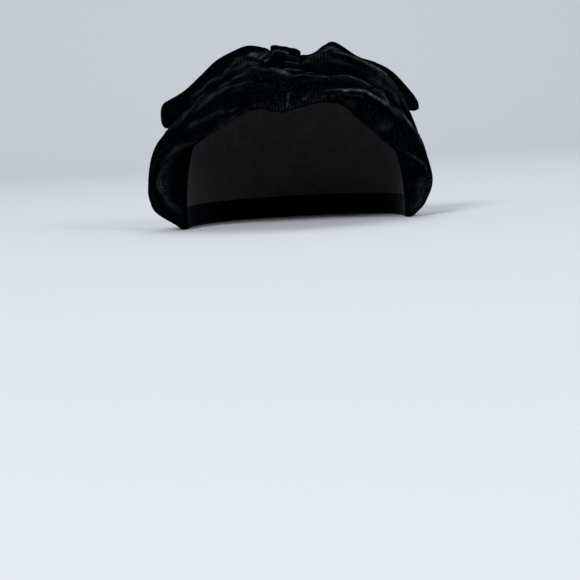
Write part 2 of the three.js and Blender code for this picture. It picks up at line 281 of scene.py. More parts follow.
def velvet(name, crush, sheen, lined=False):
    """Black pile that is crushed in patches, carries a painted highlight in streaks along the folds and parts
    in rows. A lined cloth has a plain weave where its attribute inside is 1."""
    material = bpy.data.materials.new(name)
    material.use_nodes = True
    material.node_tree.nodes.clear()
    cloth = Signal(material.node_tree)
    place = cloth.node("ShaderNodeTexCoord", output="Object")

    def attribute(label):
        return cloth.node("ShaderNodeAttribute", {"attribute_name": label}, output="Fac")

    along = attribute("along")
    over = attribute("over")
    ribs = attribute("ribs")
    # the highlight painted along the folds' crests, from the cloth's attribute
    ridge_highlight = attribute("ridge_highlight")
    lengthwise = cloth.node("ShaderNodeCombineXYZ", (), {"X": along * PILE_STREAK, "Y": over})

    def noise(label, vector):
        size, detail, low, high = PILE_NOISE[label]
        sockets = {"Vector": vector, "Scale": 1 / size, "Detail": detail, "Distortion": NOISE_WARP}
        return cloth.node("ShaderNodeTexNoise", (), sockets).clear(low, high)

    bruise = noise("bruise", place)
    crushed = noise("crush", place)
    patchy = noise("patch", place)
    nap = noise("nap", place)
    streaks = noise("streak", lengthwise).at_least(STREAK_LEAST)
    rows = cloth.math("SINE", along * (2 * math.pi / PILE_ROW)) * 0.5 + 0.5
    # painted highlight along the folds' crests, broken into streaks and patches
    opened = ridge_highlight * (ridge_highlight + (1 - ridge_highlight) * streaks)
    opened = opened * patchy.at_least(HIGHLIGHT_LEAST_PATCH) * nap.at_least(HIGHLIGHT_LEAST_NAP)
    parted = ribs * rows * patchy.at_least(PARTED_LEAST_PATCH) * nap.at_least(PARTED_LEAST_NAP)
    bruised = crush * bruise.at_least(CRUSHED_LEAST) * crushed * nap.at_least(CRUSHED_LEAST)
    # the painted highlight, with the parted rows a little lighter
    lit = cloth.math("ADD", opened, parted * PARTED_LIGHT, clamp=True)
    colour = lit.blend(bruised.blend(PILE, PILE_BRUISED), PILE_HIGHLIGHT)
    height = ribs * rows * ROW_HEIGHT + nap * NAP_HEIGHT
    roughness = nap.at_least(PILE_ROUGHNESS)
    if lined:
        inside = attribute("inside").clear(COTTON_FROM, COTTON_TO)
        axes = cloth.node("ShaderNodeSeparateXYZ", (), {"Vector": place}).socket.node.outputs
        turns = [Signal(cloth.tree, axis) * (2 * math.pi / COTTON_THREAD) for axis in axes]
        threads = [cloth.math("SINE", turn) for turn in turns]
        weave = (threads[0] + threads[1]) * threads[2] * 0.25 + 0.5
        cotton = (weave * 0.5 + patchy * 0.5).blend(COTTON, COTTON_WORN)
        colour = inside.blend(colour, cotton)
        height = height + inside * (weave - height)
        roughness = roughness - inside * COTTON_SMOOTHER
    sockets = {"Strength": BUMP_STRENGTH, "Distance": BUMP_DISTANCE, "Height": height}
    bump = cloth.node("ShaderNodeBump", (), sockets)
    surface = cloth.node(
        "ShaderNodeBsdfPrincipled",
        (),
        {
            "Base Color": colour,
            "Roughness": roughness,
            "Normal": bump,
            "Specular IOR Level": 0.0,
            "Sheen Weight": sheen,
            "Sheen Roughness": SHEEN_ROUGHNESS,
            "Sheen Tint": SHEEN_TINT,
        },
    )
    cloth.node("ShaderNodeOutputMaterial", (), {"Surface": surface})
    return material


rim = cap_rim()
up = np.linspace(0, 1, CAP_ROWS)
cap_grid = np.concatenate([cap_face(rim, up[::-1], -CAP_WALL), cap_face(rim, up, 0)], axis=1)
cap_inside = np.concatenate([(up[::-1] > TURNED_IN), 0 * up]) * np.ones((len(rim), 1))
plain = dict.fromkeys(("along", "over", "ribs", "ridge_highlight"), 0 * cap_inside)
cap = cloth_mesh("cap_velvet", cap_grid, True, inside=cap_inside, **plain)
cap.data.materials.append(velvet("cap_cloth", CAP_CRUSH, CAP_SHEEN, True))
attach(cap, "root")
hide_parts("cap")

# The brim: a bias strip of velvet, rolled over from the cap's rim to a folded edge along the brow, up over a
# soft roll and back to the cap, where it is sewn down. The pile opens in fine rows along the folded edge.
VELVET = 2 * MM
BRIM_ROLL = MM * np.array([
    # crest x, crest y, crest z, belly, heel
    (-81, -3, 3, 1, 6),  # left tip
    (-98.2, 2, 14, 4, 10),  # below the left ear
    (-99, 2, 30, 4, 10),  # left flare
    (-94, 0, 55, 6, 9),  # above the left ear
    (-79, -8, 76, 8, 7),  # left temple
    (-59, -26, 92.5, 9, 6),  # left brow
    (-31, -44, 103, 9, 6),  # left of the middle
    (-7, -49, 105, 10, 6),  # middle
    (25, -45, 103, 9, 6),  # right of the middle
    (49, -30, 96, 9, 6),  # right brow
    (68, -12, 79, 8, 7),  # right temple
    (85, -2, 60, 6, 9),  # above the right ear
    (95.5, 2, 28, 5, 10),  # right flare
    (90.5, 2, 10, 3, 9),  # below the right ear
    (83, -3, 2.5, 1, 6),  # right tip
])
# Folds and creases of the brim, from a place on one row to a place on another: across is 0 at the cap's rim,
# 0.25 at the folded edge, 0.75 at the crest and 1 at the heel. Heights and spreads in millimetres.
BRIM_FOLDS = [
    # from row, from across, to row, to across, height, spread
    (1.7, 0.44, 3.3, 0.42, -1.6, 5),  # behind the left flare
    (3.4, 0.5, 4.8, 0.5, -1.6, 5),  # left temple
    (4, 0.42, 6.2, 0.38, 1.4, 4),  # left brow
    (4.6, 0.54, 6.3, 0.68, 1.6, 4),  # left brow, running into the crest
    (6.5, 0.7, 7.1, 0.66, 1.6, 4),  # in front of the knot
    (6.2, 0.4, 7.7, 0.38, 1.6, 4),  # over the sag in the middle
    (6.4, 0.58, 8.2, 0.6, -1.4, 5),  # under the crest in the middle
    (7.9, 0.45, 9.3, 0.55, 2.4, 5),  # right brow
    (9.3, 0.55, 10.4, 0.72, 2.4, 5),  # right brow, running into the crest
    (9.2, 0.4, 10.6, 0.44, -1.8, 5),  # right temple
    (11, 0.27, 11.8, 0.6, -2.6, 4),  # over the right ear
]
# Lines along which the cloth is folded over itself: the lip drops off on its sharp side, towards the folded
# edge, and fades out on its soft side. A highlight is painted on it, as bright as light and as wide as glow.
BRIM_LIPS = [
    # height, sharp, soft, light, glow, then row and across of the places that it passes
    (1.0, 1.2, 4, 0.18, 1.5, (3.5, 0.66), (3.95, 0.621), (4.17, 0.608), (4.4, 0.604), (4.62, 0.592),
     (4.83, 0.596), (5.0, 0.654), (5.1, 0.69)),  # left crest
    (1.4, 1.2, 6, 0.14, 1.2, (4.6, 0.545), (5.1, 0.55), (5.22, 0.562), (5.35, 0.558), (5.57, 0.562),
     (5.75, 0.537), (5.9, 0.535), (6.3, 0.529)),
    (1.2, 1.2, 4, 0.16, 0.8, (5.4, 0.58), (5.75, 0.6), (5.95, 0.635), (6.17, 0.654), (6.45, 0.683),
     (6.6, 0.69)),
    (2.0, 1.3, 5, 0.2, 0.7, (6.05, 0.645), (6.3, 0.67), (6.45, 0.683), (6.65, 0.683), (6.83, 0.675)),
    (2.0, 1.3, 5, 0.34, 0.7, (6.75, 0.685), (6.83, 0.675), (6.97, 0.65), (7.07, 0.629), (7.17, 0.613),
     (7.25, 0.6)),  # in front of the knot
    (1.2, 1.2, 4, 0.2, 0.6, (7.1, 0.61), (7.17, 0.635), (7.25, 0.654), (7.36, 0.679), (7.5, 0.69)),
    (0.7, 1.0, 3, 0.2, 0.5, (7.15, 0.615), (7.3, 0.615), (7.47, 0.617), (7.6, 0.629), (7.7, 0.625)),
    (0.7, 1.0, 3, 0.3, 0.4, (7.45, 0.62), (7.55, 0.595), (7.65, 0.565), (7.75, 0.53), (7.85, 0.49),
     (7.92, 0.45)),
    (1.2, 1.2, 5, 0.42, 0.6, (8.0, 0.59), (8.42, 0.608), (8.7, 0.637), (9.0, 0.65), (9.2, 0.66), (9.36, 0.63),
     (9.45, 0.58), (9.6, 0.56)),  # right crest
    (1.4, 1.3, 6, 0.32, 1.2, (9.1, 0.565), (9.5, 0.545), (9.72, 0.554), (10.15, 0.6), (10.5, 0.62)),
    (1.4, 1.3, 6, 0.55, 0.8, (9.9, 0.575), (10.15, 0.6), (10.62, 0.629), (11.07, 0.642), (11.6, 0.65)),
    (1.8, 1.1, 5, 1.0, 0.55, (7.74, 0.366), (8.05, 0.38), (8.28, 0.398), (8.47, 0.436), (8.75, 0.479),
     (8.92, 0.508), (9.12, 0.508), (9.32, 0.517), (9.5, 0.53), (9.7, 0.55)),  # right brow
    (0.9, 1.0, 3, 0.2, 0.5, (8.3, 0.36), (8.6, 0.41), (8.8, 0.45), (8.95, 0.455)),
    (1.3, 1.3, 5, 0.12, 1.5, (4.1, 0.47), (4.38, 0.454), (4.7, 0.412), (4.9, 0.4), (5.1, 0.392),
     (5.3, 0.354), (5.6, 0.33)),  # left brow
    (1.3, 1.3, 5, 0.05, 1.5, (5.3, 0.48), (5.8, 0.48), (6.4, 0.5), (6.9, 0.48)),
    (1.2, 1.3, 5, 0.05, 1.5, (7.3, 0.5), (7.7, 0.5), (8.2, 0.52), (8.6, 0.56)),
    (1.1, 1.2, 2, 0.3, 0.6, (7.16, 0.42), (7.13, 0.4), (7.12, 0.383), (7.1, 0.333), (7.08, 0.29)),  # the sag
    (0.7, 1.2, 2, 0.12, 0.6, (6.8, 0.4), (6.88, 0.36), (6.95, 0.3)),
    (0.7, 1.2, 2, 0.12, 0.6, (7.5, 0.38), (7.42, 0.34), (7.36, 0.3)),
    (1.6, 1.2, 5, 0.25, 0.6, (10.5, 0.27), (10.67, 0.283), (11.0, 0.321), (11.15, 0.367), (11.32, 0.438),
     (11.47, 0.508), (11.7, 0.608), (11.9, 0.646)),  # over the right ear
    (1.3, 1.4, 6, 0.11, 4.5, (11.9, 0.43), (12.2, 0.48), (12.57, 0.51), (13.05, 0.46), (13.5, 0.35)),
    (1.0, 1.6, 3, 0.12, 4.2, (1.0, 0.2), (1.12, 0.29), (1.32, 0.31), (1.62, 0.28), (2.0, 0.235),
     (2.38, 0.255), (2.67, 0.28), (3.0, 0.29), (3.5, 0.3), (3.85, 0.304), (4.3, 0.312)),  # left ear
    (1.2, 1.4, 6, 0.04, 1.5, (1.2, 0.52), (1.9, 0.5), (2.6, 0.5), (3.4, 0.46)),
    (1.0, 1.4, 6, 0.05, 1.5, (1.4, 0.66), (2.1, 0.68), (2.9, 0.66), (3.6, 0.6)),
]
# Where the pile parts in rows across a bend: the strength, from 0 to 1, stands in for the height.
BRIM_RIBS = [
    # from row, from across, to row, to across, strength, spread
    (4.4, 0.26, 7.2, 0.26, 0.8, 3.5),  # along the folded edge
    (6.3, 0.31, 7.6, 0.31, 0.45, 3.5),  # over the sag in the middle
    (7.7, 0.3, 8.6, 0.34, 0.8, 4),  # under the fold of the right brow
    (8.7, 0.24, 10.2, 0.24, 0.6, 2.5),  # along the folded edge
    (9.65, 0.36, 9.85, 0.41, 1.2, 3.5),  # right temple
    (12.2, 0.62, 13.2, 0.52, 0.9, 8),  # behind the right ear
    (1.3, 0.3, 2, 0.24, 0.5, 4.5),  # round the left ear
    (2, 0.24, 3.4, 0.3, 0.5, 4.5),  # round the left ear
    (8.8, 0.6, 9.6, 0.6, 0.5, 4),  # between the folds of the right brow
]
BRIM_ROW = 23 * MM
BRIM_GIRTH = 75 * MM
BRIM_COLUMNS = 845
BRIM_OUTER = 80
BRIM_INNER = 20
BRIM_SPACING = np.array([
    # share of the places, across
    (0, 0),
    (0.08, 0.2),
    (0.92, 0.82),
    (1, 1),
])
BRIM_CRUSH = 1.0
BRIM_SHEEN = 0.0006
BELLY_SHARE = 0.45  # how far along its chord a belly lies
BELLY_CENTRE = MM * np.array([0, 10, 40])  # the place in the cap that it is pushed away from
WALL_MOST = 0.45  # how much of the way to the hollow a wall takes up at most
LIP_ENDS = 6  # a lip comes up over one part in so many of its length at each end, and in what curve
LIP_CURVE = 0.8
TEETH = 1.7 * MM  # how far the ends of the pile's rows hang down along the lowest line of the brim
TEETH_SPREAD = 2.8 * MM
TEETH_COLUMNS = 6
TEETH_ENDS = 3  # the teeth come in over one part in so many of a row
ROW_START = 0.25  # as a share of a row of pile, so that a row is lightest at the tip of each tooth
TEETH_RUNS = [
    # from row, to row
    (4.4, 7.3),  # left brow to the middle
    (8.6, 10.3),  # right brow
]
HEM_FIRST = 0.1  # between which places across the brim its lowest line lies
HEM_LAST = 0.3


def bellied(start, end, out):
    """A point about midway between two, pushed out square to their chord, away from a place in the cap."""
    chord = (end - start) / np.linalg.norm(end - start, axis=-1, keepdims=True)
    middle = start + BELLY_SHARE * (end - start)
    away = middle - BELLY_CENTRE
    away -= chord * (away * chord).sum(-1, keepdims=True)
    return middle + away / np.linalg.norm(away, axis=-1, keepdims=True) * out[..., None]


def brim_sections(share):
    """Five points of each section: the cap's rim, the folded edge, the belly, the crest and the heel."""
    edge = smooth(held(BROW_LINE), share)
    roll = smooth(held(BRIM_ROLL), share)
    crest = roll[:, :3]
    rim_point = onto_cap(behind(edge[:, :3], edge[:, 3]) * RIM_RISE, -CAP_WALL)
    heel_point = onto_cap(behind(crest, roll[:, 4]), 2 * SEAM)
    return np.stack([rim_point, edge[:, :3], bellied(edge[:, :3], crest, roll[:, 3]), crest, heel_point])


def bells(rows, across, runs, row_length, girth):
    """The sum of runs over a grid: each is highest on the straight line between its two places, and falls off
    as a bell to both sides."""
    total = np.zeros(np.broadcast_shapes(rows.shape, across.shape))
    for from_row, from_across, to_row, to_across, height, spread in runs:
        run = np.array([(to_row - from_row) * row_length, (to_across - from_across) * girth])
        off = np.stack(np.broadcast_arrays(rows - from_row, across - from_across), axis=-1)
        off *= (row_length, girth)
        share = np.clip((off @ run) / (run @ run), 0, 1)
        distance = np.linalg.norm(off - share[..., None] * run, axis=-1)
        total += height * np.exp(-((distance / (spread * MM)) ** 2))
    return total


def along_of(line):
    """The distance along a line of points, from its start."""
    return np.concatenate([[0], np.cumsum(np.linalg.norm(np.diff(line, axis=0), axis=-1))])


def lips(rows, across, lines, row_length, girth):
    """The lift of folded lines over a grid, and the highlight painted on them: bells of the distance to the
    nearest stretch of each line. The lift's is wide on one side and narrow on the other. Both fade at the
    ends."""
    place = np.stack(np.broadcast_arrays(rows * row_length, across * girth), axis=-1)
    lift = np.zeros(place.shape[:-1])
    light = np.zeros(place.shape[:-1])
    for height, sharp, soft, shine, glow, *line in lines:
        points = np.array(line) * (row_length, girth)
        ways = np.diff(points, axis=0)
        before = along_of(points)
        nearest = np.full(lift.shape, np.inf)
        spread = np.ones(lift.shape)
        passed = np.zeros(lift.shape)
        for start, way, done in zip(points, ways, before):
            off = place - start
            share = np.clip((off @ way) / (way @ way), 0, 1)
            distance = np.linalg.norm(off - share[..., None] * way, axis=-1)
            above = off[..., 1] * way[0] > off[..., 0] * way[1]
            closer = distance < nearest
            nearest = np.where(closer, distance, nearest)
            spread = np.where(closer, np.where(above, soft, sharp) * MM, spread)
            passed = np.where(closer, (done + share * np.linalg.norm(way)) / before[-1], passed)
        swell = np.clip(LIP_ENDS * np.minimum(passed, 1 - passed), 0, 1) ** LIP_CURVE
        lift += height * MM * swell * np.exp(-((nearest / spread) ** 2))
        light = np.maximum(light, shine * swell * np.exp(-((nearest / (glow * MM)) ** 2)))
    return lift, light


def brim_face(share, across):
    """Smooth lines through the sections' points, with the folds and lips raised away from their middle."""
    sections = brim_sections(share)
    rows = share[:, None] * (len(BRIM_ROLL) - 1)
    lift, light = lips(rows, across, BRIM_LIPS, BRIM_ROW, BRIM_GIRTH)
    lift += MM * bells(rows, across, BRIM_FOLDS, BRIM_ROW, BRIM_GIRTH)
    face = np.moveaxis(smooth(led_on(sections), across), 0, 1)
    face = pushed(face, sections.mean(axis=0)[:, None], lift)
    face[..., 2] = np.maximum(face[..., 2], SEAM)
    return face, light


def walled(outer, inner, hollow):
    """Closed sections of a cloth: its outer places, then its inner ones, set in by the cloth's thickness."""
    inwards = hollow - inner
    share = np.minimum(VELVET / np.linalg.norm(inwards, axis=-1, keepdims=True), WALL_MOST)
    return np.concatenate([outer, (inner + inwards * share)[:, ::-1]], axis=1)


def outer_only(values, inner):
    """Values of the outer places of each section, and 0 for its inner ones."""
    return np.hstack([values, np.zeros((len(values), inner))])


def on_cloth(along, over, ribs, ridge_highlight, inner):
    """A cloth's attributes: the place along it for each section, the place over it for each outer place, and
    ribs and the painted highlight of the fold crests on the grid of both."""
    return {
        "along": np.repeat(along[:, None], len(over) + inner, axis=1),
        "over": outer_only(np.broadcast_to(over, ridge_highlight.shape), inner),
        "ribs": outer_only(ribs, inner),
        "ridge_highlight": outer_only(ridge_highlight, inner),
    }


brim_share = np.linspace(0, 1, BRIM_COLUMNS)
brim_edge = along_of(smooth(held(BROW_LINE[:, :3]), brim_share))
brim_share = np.interp(np.linspace(0, brim_edge[-1], BRIM_COLUMNS), brim_edge, brim_share)
brim_across = np.interp(np.linspace(0, 1, BRIM_OUTER), *BRIM_SPACING.T)
brim_outer, brim_light = brim_face(brim_share, brim_across)
brim_rows = brim_share * (len(BRIM_ROLL) - 1)
brim_ribs = np.clip(bells(brim_rows[:, None], brim_across, BRIM_RIBS, BRIM_ROW, BRIM_GIRTH), 0, 1)
toothed = 0 * brim_rows
for first, last in TEETH_RUNS:
    toothed += np.clip(TEETH_ENDS * np.minimum(brim_rows - first, last - brim_rows), 0, 1)
tooth = np.abs(np.arange(BRIM_COLUMNS) % TEETH_COLUMNS / TEETH_COLUMNS * 2 - 1) * toothed
hem_places = (brim_across > HEM_FIRST) & (brim_across < HEM_LAST)
hem = brim_across[hem_places][brim_outer[:, hem_places, 2].argmin(axis=1)]
at_hem = np.exp(-(((brim_across - hem[:, None]) * BRIM_GIRTH / TEETH_SPREAD) ** 2))
brim_outer[..., 2] -= TEETH * tooth[:, None] * at_hem
brim_inner, _ = brim_face(brim_share, np.linspace(0, 1, BRIM_INNER))
brim_middle = brim_sections(brim_share).mean(axis=0)[:, None]
brim_along = (np.arange(BRIM_COLUMNS) / TEETH_COLUMNS + ROW_START) * PILE_ROW
brim = cloth_mesh(
    "brim_velvet",
    walled(brim_outer, brim_inner, brim_middle),
    False,
    **on_cloth(brim_along, brim_across * BRIM_GIRTH, brim_ribs, brim_light, BRIM_INNER),
)
black_velvet = velvet("black_velvet", BRIM_CRUSH, BRIM_SHEEN)
brim.data.materials.append(black_velvet)
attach(brim, "root")
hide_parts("brim")

# The drape: a second soft fold of velvet behind the brim, from one ear over the crown to the other. It dips
# under the knot, and both its edges are sewn to the cap.
DRAPE_FOLD = MM * np.array([
    # stand, crest x, crest y, crest z, belly, heel
    (2.5, -77, 12, 60, 1, 5),  # above the left ear
    (2.5, -73, 2, 83, 3, 6),  # left temple
    (2.5, -56, -17, 101.5, 3, 6),  # left brow
    (6, -31, -34, 116, 3, 6),  # left of the knot
    (14, -1, -25, 107.5, 1.5, 5),  # under the knot
    (8, 27, -32, 116, 3, 6),  # right of the knot
    (2.5, 49, -21, 110, 4, 6),  # right brow
    (2.5, 68.5, -3, 97.7, 4, 6),  # right temple
    (2.5, 88, 8, 57, 2, 5),  # above the right ear
    (2.5, 84, 15, 36, 1, 4),  # behind the right ear
])
# Folded lines of the drape, each with a highlight painted along it
DRAPE_LIPS = [
    # height, sharp, soft, light, glow, then row and across of the places that it passes
    (0.8, 1.4, 3, 0.55, 0.55, (5.1, 0.6), (5.45, 0.585), (5.69, 0.571), (5.93, 0.554), (6.07, 0.558),
     (6.36, 0.529), (6.75, 0.521), (7.01, 0.533), (7.23, 0.592), (7.45, 0.62), (7.8, 0.62)),  # right brow
    (0.6, 1.0, 2, 0.25, 0.5, (6.5, 0.46), (6.72, 0.467), (6.98, 0.458), (7.23, 0.521), (7.42, 0.56),
     (7.6, 0.57)),
    (1.2, 1.2, 3, 0.2, 1.3, (6.1, 0.28), (6.32, 0.292), (6.67, 0.317), (7.01, 0.367), (7.4, 0.44)),
    (1.2, 1.2, 3, 0.08, 1.0, (4.8, 0.4), (5.2, 0.42), (5.6, 0.4), (6.1, 0.37)),
    (1.2, 1.2, 4, 0.22, 0.8, (1.3, 0.54), (1.56, 0.52), (2.02, 0.438), (2.23, 0.458), (2.52, 0.392),
     (2.67, 0.417), (2.81, 0.462), (2.94, 0.533), (3.1, 0.6)),  # left brow
    (0.8, 1.2, 4, 0.15, 0.7, (2.5, 0.385), (2.67, 0.404), (2.81, 0.412), (2.99, 0.433), (3.26, 0.479),
     (3.5, 0.5)),
]
DRAPE_RIBS = [
    # from row, from across, to row, to across, strength, spread
    (2.95, 0.46, 3.5, 0.5, 0.6, 5),  # left of the knot
    (6.3, 0.36, 7.0, 0.44, 0.7, 4),  # right brow
    (4.5, 0.6, 4.9, 0.6, 1.0, 4),  # right of the knot
]
DRAPE_ROW = 25 * MM
DRAPE_GIRTH = 30 * MM
DRAPE_FIRST = 3  # the brim's row that the drape's first row stands behind
DRAPE_COLUMNS = 676
DRAPE_OUTER = 44
DRAPE_INNER = 20


def drape_sections(share):
    """Four points of each section: the foot behind the brim's heel, the belly, the crest and the heel."""
    brim_place = (DRAPE_FIRST + share * (len(DRAPE_FOLD) - 1)) / (len(BRIM_ROLL) - 1)
    roll = smooth(held(BRIM_ROLL), brim_place)
    fold = smooth(held(DRAPE_FOLD), share)
    crest = fold[:, 1:4]
    foot = onto_cap(behind(roll[:, :3], roll[:, 4] + fold[:, 0]), SEAM)
    heel = onto_cap(behind(crest, fold[:, 5]), SEAM)
    return np.stack([foot, bellied(foot, crest, fold[:, 4]), crest, heel])


def drape_face(share, across):
    """Smooth lines through the sections' points, with the lips raised away from their middle."""
    sections = drape_sections(share)
    rows = share[:, None] * (len(DRAPE_FOLD) - 1)
    lift, light = lips(rows, across, DRAPE_LIPS, DRAPE_ROW, DRAPE_GIRTH)
    face = np.moveaxis(smooth(led_on(sections), across), 0, 1)
    return pushed(face, sections.mean(axis=0)[:, None], lift), light


drape_share = np.linspace(0, 1, DRAPE_COLUMNS)
drape_across = np.linspace(0, 1, DRAPE_OUTER)
drape_outer, drape_light = drape_face(drape_share, drape_across)
drape_rows = drape_share[:, None] * (len(DRAPE_FOLD) - 1)
drape_ribs = np.clip(bells(drape_rows, drape_across, DRAPE_RIBS, DRAPE_ROW, DRAPE_GIRTH), 0, 1)
drape_inner, _ = drape_face(drape_share, np.linspace(0, 1, DRAPE_INNER))
drape_middle = drape_sections(drape_share).mean(axis=0)[:, None]
drape_line = along_of(smooth(held(DRAPE_FOLD[:, 1:4]), drape_share))
drape = cloth_mesh(
    "drape_velvet",
    walled(drape_outer, drape_inner, drape_middle),
    False,
    **on_cloth(drape_line, drape_across * DRAPE_GIRTH, drape_ribs, drape_light, DRAPE_INNER),
)
drape.data.materials.append(black_velvet)
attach(drape, "root")
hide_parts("drape")

# The bow's two loops: strips of velvet laid double, gathered in the knot and spread flat over the crown, with
# a blunt fold at the end. The front edge of the top layer is turned down, and the lower layer is sewn to the
# cap.
LOOP_LEFT = MM * np.array([
    # out, top, drop, front, back, pleat, clear
    (1, 113, 2, -16, 1, 1.5, 2),  # in the knot
    (11.4, 119.4, 2, -16, -1.5, 1.5, 2),  # leaving the knot
    (15, 121.6, 4, -18, 7, 3, 3),
    (27, 124, 10, -19, 14, 4, 5),
    (39, 120.5, 13, -16, 22, 4, 6),
    (51, 115, 12, -7, 33, 3, 6),
    (63, 105.5, 9, 6, 43, 2.5, 4),
    (76, 95.5, 6, 12, 51, 2, 1),
    (93.5, 87, 4, 15, 57, 1.5, 0),  # end fold
])
LOOP_RIGHT = MM * np.array([
    # out, top, drop, front, back, pleat, clear
    (1, 112, 2, -16, 1, 1.5, 2),  # in the knot
    (9.5, 115.2, 2, -16, 1, 1.5, 2),  # leaving the knot
    (15, 115.4, 2, -18, 7, 2, 3),
    (20, 117.2, 3, -18.5, 10, 3, 4),
    (26, 121.2, 4, -19, 14.5, 4, 5),
    (34, 123, 5, -16, 20, 4, 6),
    (50, 112.6, 4, -4, 33, 3, 6),
    (63, 107.9, 5, 11, 44, 2.5, 4),
    (76, 99.6, 6, 13, 51, 2, 1),
    (92.5, 79.6, 4, 15, 57, 1.5, 0),  # end fold
])
LOOP_LIP = 5 * MM  # how far the front edge of the top layer reaches past the one below
LOOP_TURN = 0.24  # the share of the top layer that is turned down in front, and how squarely
LOOP_TURN_POWER = 2.4
LOOP_SLANT = 3 * MM  # how much shorter the loop is in front, and at its rounded corners behind and in front
LOOP_CORNER = 4 * MM
LOOP_CORNER_FRONT = {-1: 0, 1: 6 * MM}  # on the left and on the right
LOOP_CORNER_POWER = 4
LOOP_CROWDED = 1.7  # how much closer the sections lie at the end fold
LOOP_FOLD = 5 * MM  # the length of the rounded end above and below, and how square it is
LOOP_UNDER = 10 * MM
LOOP_BLUNT = 2.7
LOOP_TIP = 0.53  # how high the end's outermost line lies between its two layers
LOOP_END = 70.4 * MM  # the height of the lower layer at the end, and its rise towards the knot
LOOP_SAG = 0.45
LOOP_LEAN = 1.2 * MM  # how much higher the right end is, and how much lower the left one
LOOP_GATHERS = 3
LOOP_BACK_DROP = 5 * MM
GATHERED = 24 * MM  # how far from the hat's middle the gathers part the pile, how far over and how strongly
GATHERED_OVER = 0.3
GATHERED_RIBS = 0.6
LOOP_BROW = 0.125  # where the top layer turns down and a highlight is painted on it, how widely and how brightly
LOOP_GLOW = 0.016
LOOP_LIGHT = 0.33
LOOP_LIT_LEFT = 28 * MM  # how far from the hat's middle that is on each side, and over what length
LOOP_LIT_RIGHT = 34 * MM
LOOP_LIT = 16 * MM
BOW_CRUSH = 0.6
BOW_SHEEN = 0.0006
LOOP_WIDTH = 38 * MM
# Painted highlights on folds that fan out of the knot over the front of each loop, between two places: out is
# the distance from the hat's middle in millimetres, and across is 0 at the front edge and 1 at the back.
FAN_LEFT = [
    # from out, from across, to out, to across, light, glow
    (26, 0.005, 13, 0.12, 0.28, 0.5),
    (30, 0.02, 19, 0.12, 0.2, 0.5),
    (20, 0.005, 12.5, 0.05, 0.28, 0.5),
]
FAN_RIGHT = [
    # from out, from across, to out, to across, light, glow
    (17, 0.01, 28, 0.12, 0.28, 0.5),
    (22, 0.01, 33, 0.1, 0.2, 0.5),
]
LOOP_COLUMNS = 281
LOOP_OUTER = 84
LOOP_INNER = 30


def rounded(share, power):
    """1 at 0, falling to 0 at 1 as the quarter of a squared-off circle does."""
    return np.maximum(0, 1 - np.maximum(0, share) ** power) ** (1 / power)


def loop_stations(table, side, way, width):
    """Places of a loop and of its hollow. The way runs from the knot, under the loop, to the end and back
    over the top. The ceiling sinks to both edges and into the gathers, and the floor is the cap or the
    sagging lower layer."""
    length = table[-1, 0]
    lowest = LOOP_END + side * LOOP_LEAN
    way, width = way[:, None], width[None]
    reached = 1 - np.abs(1 - 2 * way) ** LOOP_CROWDED
    out, top, drop, front, back, pleat, clear = np.moveaxis(smooth(held(table), reached), -1, 0)
    corner = np.where(width < 0.5, LOOP_CORNER_FRONT[side], LOOP_CORNER)
    corner = corner * (2 * width - 1) ** LOOP_CORNER_POWER
    reach = length - LOOP_SLANT * (1 - width) - corner
    x = out / length * reach
    rounding = np.where(way > 0.5, LOOP_FOLD, LOOP_UNDER)
    opened = rounded((x - reach + rounding) / rounding, LOOP_BLUNT)
    upper = (way > 0.5) * opened
    start = front - LOOP_LIP * upper
    y = start + (back - start) * width
    sides = (2 * width - 1) ** 2 * np.where(width < 0.5, drop, np.minimum(drop, LOOP_BACK_DROP))
    gathers = pleat * (1 - np.cos(2 * np.pi * LOOP_GATHERS * (width - 0.5))) / 2
    ceiling = top - sides - gathers
    under = lowest + np.maximum(0, length - x - LOOP_FOLD) * LOOP_SAG
    floor = np.maximum(cap_top(side * x, y, 2 * SEAM), under)
    height = (ceiling - floor) * opened
    turned = 1 - rounded(1 - width / LOOP_TURN, LOOP_TURN_POWER)
    fall = turned * upper * np.maximum(0, height - clear)
    middle = floor + (ceiling - floor) * LOOP_TIP
    layer = middle + (np.where(way > 0.5, ceiling, floor) - middle) * opened
    face = np.stack([side * x, y, layer - fall], axis=-1)
    hollow = np.stack([side * np.minimum(x, reach - LOOP_FOLD), y, middle], axis=-1)
    return face, hollow


bow_velvet = velvet("bow_velvet", BOW_CRUSH, BOW_SHEEN)


def bow_loop(name, node, table, side, lit, fan):
    """A loop as one closed piece of cloth, with its sections in order from left to right. Its front has a
    painted highlight at the distance lit from the hat's middle, and on the folds of its fan."""
    way = np.linspace(0, 1, LOOP_COLUMNS)[:: -side]
    width = np.linspace(0, 1, LOOP_OUTER)
    outer, _ = loop_stations(table, side, way, width)
    width_inner = np.linspace(0, 1, LOOP_INNER)
    inner, _ = loop_stations(table, side, way, width_inner)
    _, hollow = loop_stations(table, side, way, np.maximum(width_inner, LOOP_TURN))
    line = along_of(outer[:, LOOP_OUTER // 2])
    # painted highlight along the turned-down front edge and on the fan's folds
    near_lit = np.exp(-(((np.abs(outer[..., 0]) - lit) / LOOP_LIT) ** 2))
    brow = np.exp(-(((width - LOOP_BROW) / LOOP_GLOW) ** 2)) * near_lit
    gathered = np.exp(-((outer[..., 0] / GATHERED) ** 2) - (width / GATHERED_OVER) ** 2)
    fanned = bells(np.abs(outer[..., 0]) / MM, width, fan, MM, LOOP_WIDTH)
    light = np.maximum(LOOP_LIGHT * brow, fanned)
    values = on_cloth(line, width * LOOP_WIDTH, GATHERED_RIBS * gathered, light, LOOP_INNER)
    piece = cloth_mesh(name, walled(outer, inner, hollow), False, **values)
    piece.data.materials.append(bow_velvet)
    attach(piece, "root")
    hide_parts(node)


bow_loop("bow_loop_left_velvet", "bow_loop_left", LOOP_LEFT, -1, LOOP_LIT_LEFT, FAN_LEFT)
bow_loop("bow_loop_right_velvet", "bow_loop_right", LOOP_RIGHT, 1, LOOP_LIT_RIGHT, FAN_RIGHT)

